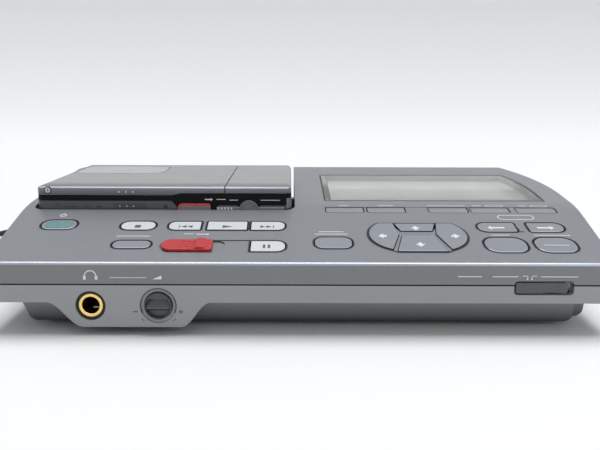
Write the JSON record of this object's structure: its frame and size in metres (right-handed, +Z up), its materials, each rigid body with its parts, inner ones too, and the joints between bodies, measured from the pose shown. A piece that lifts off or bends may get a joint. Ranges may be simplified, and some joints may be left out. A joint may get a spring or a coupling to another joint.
{
  "type": "disc recorder docking station",
  "caption": "Low desktop docking station with sloping key panel, bowed display side, headphone socket and volume knob, and a portable disc recorder standing in its bay.",
  "frame": {"origin": "on the table under the middle of the station's bounding box, the mains lead left out", "axes": "+X to the right of a person at the keys, +Y towards the rear, +Z up"},
  "size_m": [0.3727, 0.2216, 0.0507],
  "materials": {
    "case_silver": "silver-grey metallic paint, satin",
    "base_grey": "grey moulded plastic, satin",
    "rubber_black": "matt black rubber",
    "plated_steel": "zinc-plated, satin",
    "display_clear": "clear moulded window, gloss",
    "display_cell": "grey-green liquid crystal cell",
    "circuit_board": "green solder mask",
    "black_plastic": "black moulded plastic, fine grain",
    "gilt": "thin gilt plating, bright",
    "knob_grey": "dark grey moulded plastic",
    "key_white": "white moulded plastic, satin",
    "key_grey": "silver-grey moulded plastic, satin",
    "record_red": "red moulded plastic, gloss",
    "transformer": "varnished steel laminations",
    "lead_black": "matt black flexible sheath",
    "tie_white": "white plastic tie",
    "recorder_silver": "satin light-grey aluminium finish",
    "recorder_body": "dark grey metallic paint, satin",
    "smoked_clear": "smoked clear plastic, gloss",
    "battery_grey": "printed film wrap",
    "cartridge_blue": "dark translucent plastic",
    "disc_silver": "metallised disc"
  },
  "bodies": {
    "station": {"upper_case": "case_silver", "lower_case": "base_grey", "rubber_feet": "rubber_black", "case_screws": "plated_steel", "display_window": "display_clear", "lcd_panel": "display_cell", "main_board": "circuit_board", "key_board": "circuit_board", "headphone_jack": "black_plastic", "jack_bush": "gilt", "volume_pot": "plated_steel", "input_switch_body": "plated_steel", "dock_connector": "black_plastic", "rear_sockets": "black_plastic", "power_supply": "transformer", "strain_relief": "lead_black", "power_cord": "lead_black", "cord_coil": "lead_black", "coil_tie": "tie_white", "mains_plug": "lead_black"},
    "recorder": {"recorder_case": "recorder_body", "recorder_front_panel": "black_plastic", "battery_pack": "battery_grey", "hinge_pin": "plated_steel", "mechanism_chassis": "plated_steel", "disc_cartridge": "cartridge_blue", "spindle_motor": "knob_grey"},
    "lid": {"recorder_lid": "recorder_silver", "lid_window": "smoked_clear"},
    "cover": {"battery_cover": "recorder_silver"},
    "spinning_disc": {"disc": "disc_silver", "turntable": "plated_steel"},
    "pickup": {"optical_pickup": "black_plastic"},
    "screw": {"lead_screw": "plated_steel"},
    "recorder_slider": {"recorder_record_slider": "record_red"},
    "lever": {"thumb_lever": "recorder_body"},
    "knob": {"volume_knob": "knob_grey"},
    "input_switch": {"input_switch_knob": "knob_grey"},
    "slider": {"record_slider": "record_red"},
    "power_key": {"power_button": "key_grey"},
    "stop_key": {"stop_button": "key_white"},
    "previous_key": {"previous_button": "key_white"},
    "play_key": {"play_button": "key_white"},
    "next_key": {"next_button": "key_white"},
    "pause_key": {"pause_button": "key_white"},
    "end_search_key": {"end_search_button": "key_grey"},
    "character_key": {"character_button": "key_grey"},
    "cursor_left_key": {"cursor_left_button": "key_grey"},
    "cursor_right_key": {"cursor_right_button": "key_grey"},
    "cursor_up_key": {"cursor_up_button": "key_grey"},
    "cursor_down_key": {"cursor_down_button": "key_grey"},
    "arrow_left_key": {"arrow_left_button": "key_grey"},
    "arrow_right_key": {"arrow_right_button": "key_grey"},
    "oval_left_key": {"oval_left_button": "key_grey"},
    "oval_right_key": {"oval_right_button": "key_grey"},
    "function_1_key": {"function_button_1": "key_grey"},
    "function_2_key": {"function_button_2": "key_grey"},
    "function_3_key": {"function_button_3": "key_grey"},
    "function_4_key": {"function_button_4": "key_grey"},
    "function_5_key": {"function_button_5": "key_grey"}
  },
  "joints": [
    {"name": "power_press", "type": "slide", "parent": "station", "child": "power_key", "axis": [0, 0.2672, -0.9636], "range_m": [0, 0.0008], "stiffness_N_per_m": 500},
    {"name": "stop_press", "type": "slide", "parent": "station", "child": "stop_key", "axis": [0, 0.2672, -0.9636], "range_m": [0, 0.0008], "stiffness_N_per_m": 500},
    {"name": "previous_press", "type": "slide", "parent": "station", "child": "previous_key", "axis": [0, 0.2672, -0.9636], "range_m": [0, 0.0008], "stiffness_N_per_m": 500},
    {"name": "play_press", "type": "slide", "parent": "station", "child": "play_key", "axis": [0, 0.2672, -0.9636], "range_m": [0, 0.0008], "stiffness_N_per_m": 500},
    {"name": "next_press", "type": "slide", "parent": "station", "child": "next_key", "axis": [0, 0.2672, -0.9636], "range_m": [0, 0.0008], "stiffness_N_per_m": 500},
    {"name": "pause_press", "type": "slide", "parent": "station", "child": "pause_key", "axis": [0, 0.2672, -0.9636], "range_m": [0, 0.0008], "stiffness_N_per_m": 500},
    {"name": "end_search_press", "type": "slide", "parent": "station", "child": "end_search_key", "axis": [0, 0.2672, -0.9636], "range_m": [0, 0.0008], "stiffness_N_per_m": 500},
    {"name": "character_press", "type": "slide", "parent": "station", "child": "character_key", "axis": [0, 0.2672, -0.9636], "range_m": [0, 0.0008], "stiffness_N_per_m": 500},
    {"name": "cursor_left_press", "type": "slide", "parent": "station", "child": "cursor_left_key", "axis": [0, 0.2672, -0.9636], "range_m": [0, 0.0008], "stiffness_N_per_m": 500},
    {"name": "cursor_right_press", "type": "slide", "parent": "station", "child": "cursor_right_key", "axis": [0, 0.2672, -0.9636], "range_m": [0, 0.0008], "stiffness_N_per_m": 500},
    {"name": "cursor_up_press", "type": "slide", "parent": "station", "child": "cursor_up_key", "axis": [0, 0.2672, -0.9636], "range_m": [0, 0.0008], "stiffness_N_per_m": 500},
    {"name": "cursor_down_press", "type": "slide", "parent": "station", "child": "cursor_down_key", "axis": [0, 0.2672, -0.9636], "range_m": [0, 0.0008], "stiffness_N_per_m": 500},
    {"name": "arrow_left_press", "type": "slide", "parent": "station", "child": "arrow_left_key", "axis": [0, 0.2672, -0.9636], "range_m": [0, 0.0008], "stiffness_N_per_m": 500},
    {"name": "arrow_right_press", "type": "slide", "parent": "station", "child": "arrow_right_key", "axis": [0, 0.2672, -0.9636], "range_m": [0, 0.0008], "stiffness_N_per_m": 500},
    {"name": "oval_left_press", "type": "slide", "parent": "station", "child": "oval_left_key", "axis": [0, 0.2672, -0.9636], "range_m": [0, 0.0008], "stiffness_N_per_m": 500},
    {"name": "oval_right_press", "type": "slide", "parent": "station", "child": "oval_right_key", "axis": [0, 0.2672, -0.9636], "range_m": [0, 0.0008], "stiffness_N_per_m": 500},
    {"name": "function_1_press", "type": "slide", "parent": "station", "child": "function_1_key", "axis": [0, 0.1777, -0.9841], "range_m": [0, 0.0008], "stiffness_N_per_m": 500},
    {"name": "function_2_press", "type": "slide", "parent": "station", "child": "function_2_key", "axis": [0, 0.1777, -0.9841], "range_m": [0, 0.0008], "stiffness_N_per_m": 500},
    {"name": "function_3_press", "type": "slide", "parent": "station", "child": "function_3_key", "axis": [0, 0.1777, -0.9841], "range_m": [0, 0.0008], "stiffness_N_per_m": 500},
    {"name": "function_4_press", "type": "slide", "parent": "station", "child": "function_4_key", "axis": [0, 0.1777, -0.9841], "range_m": [0, 0.0008], "stiffness_N_per_m": 500},
    {"name": "function_5_press", "type": "slide", "parent": "station", "child": "function_5_key", "axis": [0, 0.1777, -0.9841], "range_m": [0, 0.0008], "stiffness_N_per_m": 500},
    {"name": "record_slide", "type": "slide", "parent": "station", "child": "slider", "axis": [1, 0, 0], "range_m": [0, 0.0042], "stiffness_N_per_m": 200},
    {"name": "volume_turn", "type": "hinge", "parent": "station", "child": "knob", "pos_m": [-0.0556, -0.0664, 0.0117], "axis": [0, 1, 0], "range_deg": [-140, 140]},
    {"name": "input_slide", "type": "slide", "parent": "station", "child": "input_switch", "axis": [1, 0, 0], "range_m": [0, 0.0018]},
    {"name": "recorder_lift", "type": "slide", "parent": "station", "child": "recorder", "axis": [0, 0, 1], "range_m": [0, 0.04]},
    {"name": "lid_open", "type": "hinge", "parent": "recorder", "child": "lid", "pos_m": [-0.0758, 0.06, 0.0473], "axis": [-1, 0, 0], "range_deg": [0, 95]},
    {"name": "cover_open", "type": "hinge", "parent": "recorder", "child": "cover", "pos_m": [-0.0758, 0.06, 0.0473], "axis": [-1, 0, 0], "range_deg": [0, 95]},
    {"name": "disc_spin", "type": "hinge", "parent": "recorder", "child": "spinning_disc", "pos_m": [-0.0753, 0.0206, 0.0395], "axis": [0, 0, 1], "continuous": true},
    {"name": "pickup_slide", "type": "slide", "parent": "recorder", "child": "pickup", "axis": [1, 0, 0], "range_m": [0, 0.014]},
    {"name": "screw_turn", "type": "hinge", "parent": "recorder", "child": "screw", "pos_m": [-0.0558, 0.0146, 0.03325], "axis": [1, 0, 0], "range_deg": [0, 3360]},
    {"name": "recorder_record_slide", "type": "slide", "parent": "recorder", "child": "recorder_slider", "axis": [1, 0, 0], "range_m": [0, 0.0022], "stiffness_N_per_m": 150},
    {"name": "lever_slide", "type": "slide", "parent": "recorder", "child": "lever", "axis": [1, 0, 0], "range_m": [-0.0022, 0.0022], "stiffness_N_per_m": 150}
  ],
  "couplings": [
    {"joint": "screw_turn", "follows": "pickup_slide", "rad_per_m": 4188.8}
  ]
}
